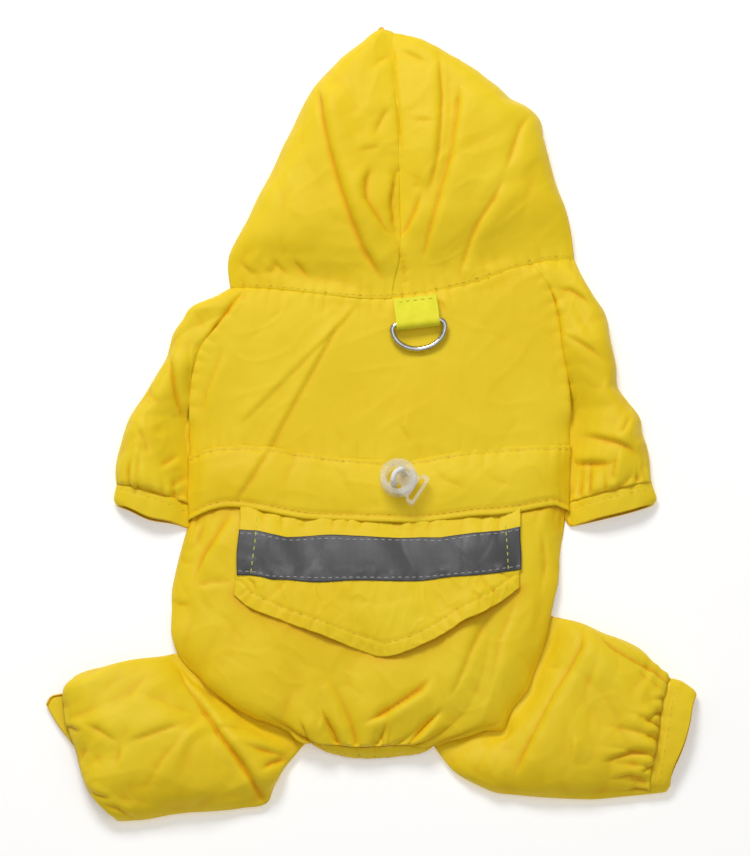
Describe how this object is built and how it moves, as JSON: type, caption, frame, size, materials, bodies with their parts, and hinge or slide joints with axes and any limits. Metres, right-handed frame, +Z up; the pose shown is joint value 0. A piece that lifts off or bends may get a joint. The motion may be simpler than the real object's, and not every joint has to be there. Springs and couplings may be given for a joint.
{
  "type": "dog raincoat",
  "caption": "Hooded four-legged raincoat for a small dog, laid flat with its back up, with a leash ring, a reflective pocket flap and a draw cord at the waist.",
  "frame": {"origin": "under the middle of the laid out coat, on the surface that it lies on", "axes": "+Y towards the tip of the hood, +Z up from the surface, +X to the right with the back up and the hood away from the viewer"},
  "size_m": [0.2822, 0.3492, 0.023],
  "materials": {
    "raincoat_cloth": "thin crisp coated taffeta with a soft sheen",
    "reflective_tape": "grey glass bead reflective tape, satin",
    "elastic_cord": "white braided elastic",
    "clear_plastic": "clear moulded plastic, glossy",
    "webbing": "neon lime yellow woven webbing",
    "nickel": "nickel plated wire"
  },
  "bodies": {
    "coat": {"hood_left": "raincoat_cloth", "hood_right": "raincoat_cloth", "back_upper": "raincoat_cloth", "back_lower": "raincoat_cloth", "tail_hem": "raincoat_cloth", "belly_left": "raincoat_cloth", "belly_right": "raincoat_cloth", "sleeve_left": "raincoat_cloth", "sleeve_right": "raincoat_cloth", "sleeve_cuff_left": "raincoat_cloth", "sleeve_cuff_right": "raincoat_cloth", "leg_left": "raincoat_cloth", "leg_right": "raincoat_cloth", "leg_cuff_left": "raincoat_cloth", "leg_cuff_right": "raincoat_cloth", "pocket_flap": "raincoat_cloth", "waistband": "raincoat_cloth", "reflective_tape": "reflective_tape", "draw_cord": "elastic_cord", "lock_housing": "clear_plastic", "leash_loop": "webbing"},
    "ring": {"d_ring": "nickel"},
    "button": {"lock_button": "clear_plastic"}
  },
  "joints": [
    {"name": "ring_swing", "type": "hinge", "parent": "coat", "child": "ring", "pos_m": [0.0205, 0.04285, 0.0127], "axis": [-0.9936, -0.1132, 0], "range_deg": [0, 160]},
    {"name": "button_press", "type": "slide", "parent": "coat", "child": "button", "axis": [-0.8387, 0.5446, 0], "range_m": [0, 0.002], "stiffness_N_per_m": 400, "springref_m": -0.002}
  ]
}
